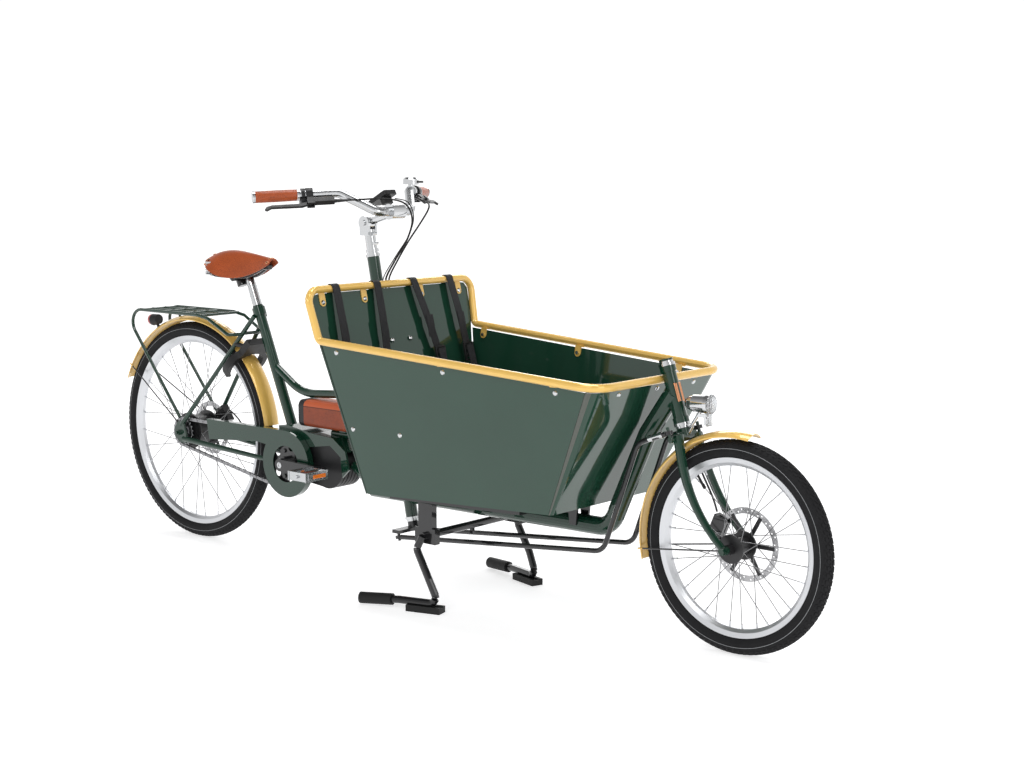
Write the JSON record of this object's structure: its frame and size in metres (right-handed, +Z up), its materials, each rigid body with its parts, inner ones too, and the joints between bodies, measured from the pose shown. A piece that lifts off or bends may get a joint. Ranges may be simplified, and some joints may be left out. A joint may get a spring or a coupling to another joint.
{
  "type": "cargo bicycle",
  "caption": "Long-wheelbase cargo bicycle with a panelled front box hung from a tube rim, linkage steering, mid motor, rack, disc brakes and a two-legged stand.",
  "frame": {"origin": "on the floor under the middle of the whole bicycle, with both wheels and the stand on the floor", "axes": "+X points forward, +Y to the rider's left, +Z up"},
  "size_m": [2.5128, 0.6688, 1.0881],
  "materials": {
    "green_paint": "gloss",
    "gold_paint": "pearl gloss",
    "panel_green": "gloss lacquer on ply",
    "black_steel": "satin",
    "black_plastic": "matt",
    "alloy": "polished",
    "chrome": "mirror",
    "steel": "satin",
    "tyre": "matt with a light stripe",
    "leather": "waxed",
    "webbing": "woven",
    "red_lens": "gloss",
    "rubber": "matt"
  },
  "bodies": {
    "frame": {"seat_tube": "green_paint", "top_tubes": "green_paint", "main_tube": "green_paint", "rear_stays": "green_paint", "headset_cups": "chrome", "motor": "alloy", "battery": "leather", "chaincase": "green_paint", "chain": "steel", "rear_fender": "gold_paint", "rack": "green_paint", "tail_lamp": "red_lens", "ring_lock": "black_plastic", "rear_caliper": "black_steel", "right_panel": "panel_green", "left_panel": "panel_green", "front_panel": "panel_green", "back_panel": "panel_green", "floor_panel": "panel_green", "bench": "panel_green", "box_rim": "gold_paint", "box_bolts": "chrome", "underframe": "black_steel", "harness": "webbing"},
    "stem": {"stem_base": "chrome", "steering_lever": "black_steel"},
    "bars": {"stem_arm": "chrome", "handlebar": "alloy", "grips": "leather", "brake_masters": "black_plastic", "controls": "black_plastic", "bell": "chrome", "hoses": "rubber"},
    "right_brake": {"right_lever": "black_plastic"},
    "left_brake": {"left_lever": "black_plastic"},
    "shifter": {"shift_lever": "black_plastic"},
    "assist": {"assist_switch": "black_plastic"},
    "striker": {"bell_striker": "black_plastic"},
    "right_rod_link": {"right_rod": "black_steel"},
    "left_rod_link": {"left_rod": "black_steel"},
    "fork_assembly": {"fork": "green_paint", "front_fender": "gold_paint", "headlight": "chrome", "front_caliper": "black_steel"},
    "front_wheel": {"front_tyre": "tyre", "front_rim": "alloy", "front_hub": "black_steel"},
    "rear_wheel": {"rear_tyre": "tyre", "rear_rim": "alloy", "rear_hub": "black_steel"},
    "freewheel": {"rear_sprocket": "steel"},
    "cranks": {"crankset": "black_steel"},
    "right_pedal_body": {"right_pedal": "alloy"},
    "left_pedal_body": {"left_pedal": "alloy"},
    "stand": {"stand_legs": "black_steel", "stand_feet": "rubber"},
    "saddle_post": {"seatpost": "chrome", "saddle_frame": "black_steel", "saddle": "leather"},
    "lock_bow": {"lock_shackle": "chrome"}
  },
  "joints": [
    {"name": "handlebar_steer", "type": "hinge", "parent": "frame", "child": "stem", "pos_m": [-0.038, 0, 0.182], "axis": [-0.1942, 0, 0.981], "range_deg": [-35, 35], "deforming": ["hoses"]},
    {"name": "fork_steer", "type": "hinge", "parent": "frame", "child": "fork_assembly", "pos_m": [0.844, 0, 0.527], "axis": [-0.3173, 0, 0.9483], "range_deg": [-35, 35]},
    {"name": "left_rod_swing", "type": "hinge", "parent": "stem", "child": "left_rod_link", "pos_m": [-0.02895, 0.06, 0.13631], "axis": [-0.1942, 0, 0.981], "range_deg": [-35, 35]},
    {"name": "right_rod_swing", "type": "hinge", "parent": "stem", "child": "right_rod_link", "pos_m": [-0.02895, -0.06, 0.13631], "axis": [-0.1942, 0, 0.981], "range_deg": [-35, 35]},
    {"name": "stem_tilt", "type": "hinge", "parent": "stem", "child": "bars", "pos_m": [-0.19363, 0, 0.968], "axis": [0, 1, 0], "range_deg": [-20, 20], "deforming": ["hoses"]},
    {"name": "left_brake_pull", "type": "hinge", "parent": "bars", "child": "left_brake", "pos_m": [-0.18703, 0.2152, 1.02529], "axis": [0.502, 0.3581, 0.7873], "range_deg": [0, 11], "stiffness_Nm_per_rad": 1, "springref_deg": -8.59},
    {"name": "right_brake_pull", "type": "hinge", "parent": "bars", "child": "right_brake", "pos_m": [-0.18703, -0.2152, 1.02529], "axis": [-0.502, 0.3581, -0.7873], "range_deg": [0, 11], "stiffness_Nm_per_rad": 1, "springref_deg": -8.59},
    {"name": "gear_shift", "type": "hinge", "parent": "bars", "child": "shifter", "pos_m": [-0.214, -0.216, 1.02679], "axis": [-0.0234, -0.037, 0.999], "range_deg": [0, 25], "stiffness_Nm_per_rad": 0.3, "springref_deg": -8.59},
    {"name": "assist_press", "type": "hinge", "parent": "bars", "child": "assist", "pos_m": [-0.214, 0.216, 1.02679], "axis": [0.0234, -0.037, -0.999], "range_deg": [0, 25], "stiffness_Nm_per_rad": 0.3, "springref_deg": -8.59},
    {"name": "bell_ring", "type": "hinge", "parent": "bars", "child": "striker", "pos_m": [-0.16938, 0.16786, 1.07436], "axis": [-0.0234, 0.037, 0.999], "range_deg": [0, 25], "stiffness_Nm_per_rad": 0.1, "springref_deg": -11.46},
    {"name": "front_wheel_spin", "type": "hinge", "parent": "fork_assembly", "child": "front_wheel", "pos_m": [1.004, 0, 0.2525], "axis": [0, 1, 0], "continuous": true},
    {"name": "rear_wheel_spin", "type": "hinge", "parent": "frame", "child": "rear_wheel", "pos_m": [-0.93, 0, 0.3265], "axis": [0, 1, 0], "continuous": true},
    {"name": "crank_spin", "type": "hinge", "parent": "frame", "child": "cranks", "pos_m": [-0.47, 0, 0.283], "axis": [0, 1, 0], "continuous": true},
    {"name": "sprocket_spin", "type": "hinge", "parent": "frame", "child": "freewheel", "pos_m": [-0.93, 0, 0.3265], "axis": [0, 1, 0], "continuous": true},
    {"name": "right_pedal_spin", "type": "hinge", "parent": "cranks", "child": "right_pedal_body", "pos_m": [-0.3, -0.136, 0.283], "axis": [0, 1, 0], "continuous": true},
    {"name": "left_pedal_spin", "type": "hinge", "parent": "cranks", "child": "left_pedal_body", "pos_m": [-0.64, 0.136, 0.283], "axis": [0, 1, 0], "continuous": true},
    {"name": "kickstand_fold", "type": "hinge", "parent": "frame", "child": "stand", "pos_m": [0.18, 0, 0.19], "axis": [0, 1, 0], "range_deg": [0, 75]},
    {"name": "saddle_height", "type": "slide", "parent": "frame", "child": "saddle_post", "axis": [-0.3827, 0, 0.9239], "range_m": [-0.04, 0.06]},
    {"name": "lock_close", "type": "hinge", "parent": "frame", "child": "lock_bow", "pos_m": [-0.71115, 0, 0.54535], "axis": [-0.7071, 0, 0.7071], "range_deg": [0, 168]}
  ],
  "couplings": [
    {"joint": "fork_steer", "follows": "handlebar_steer", "ratio": 1},
    {"joint": "left_rod_swing", "follows": "handlebar_steer", "ratio": -1},
    {"joint": "right_rod_swing", "follows": "handlebar_steer", "ratio": -1},
    {"joint": "sprocket_spin", "follows": "crank_spin", "ratio": 1.9}
  ]
}
